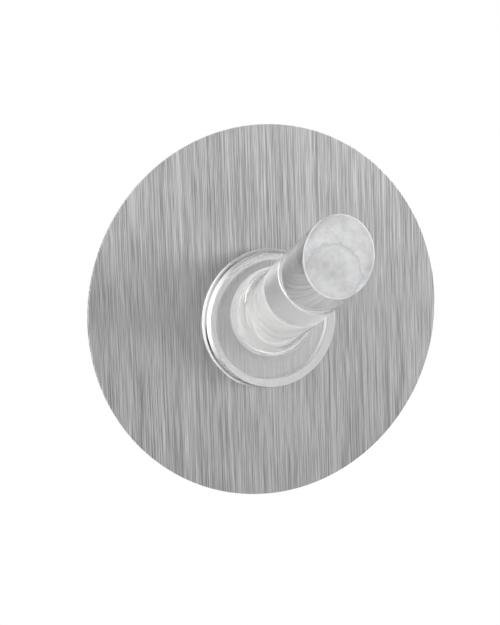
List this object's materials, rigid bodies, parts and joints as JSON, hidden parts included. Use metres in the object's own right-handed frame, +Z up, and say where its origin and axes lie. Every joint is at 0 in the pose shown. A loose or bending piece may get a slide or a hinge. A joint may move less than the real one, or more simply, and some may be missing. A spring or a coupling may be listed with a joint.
{
  "type": "adhesive wall hook",
  "caption": "Adhesive wall hook: a round brushed steel disc with a clear plastic peg that leans upwards from a skirted foot, and a foam pad with release paper on its back.",
  "frame": {"origin": "centre of the disc on the wall plane, at the back of the release paper", "axes": "+Y into the wall, +Z up, +X to the right for someone who faces the hook, which points along -Y"},
  "size_m": [0.07, 0.036, 0.07],
  "materials": {
    "steel": "brushed, lines upright",
    "clear_plastic": "clear, moulded gloss",
    "milky_plastic": "milky, satin",
    "clear_film": "clear adhesive",
    "pale_glue": "milky adhesive",
    "foam": "closed-cell foam",
    "release_paper": "silicone-coated, satin"
  },
  "bodies": {
    "hook": {"face_disc": "steel", "hook_body": "clear_plastic", "anchor": "milky_plastic", "bond_film": "clear_film", "bond_ring": "pale_glue", "adhesive_pad": "foam"},
    "paper_large": {"liner_large": "release_paper"},
    "paper_small": {"liner_small": "release_paper"}
  },
  "joints": [
    {"name": "peel_large", "type": "slide", "parent": "hook", "child": "paper_large", "axis": [0, 1, 0], "range_m": [0, 0.02]},
    {"name": "peel_small", "type": "slide", "parent": "hook", "child": "paper_small", "axis": [0, 1, 0], "range_m": [0, 0.02]}
  ]
}
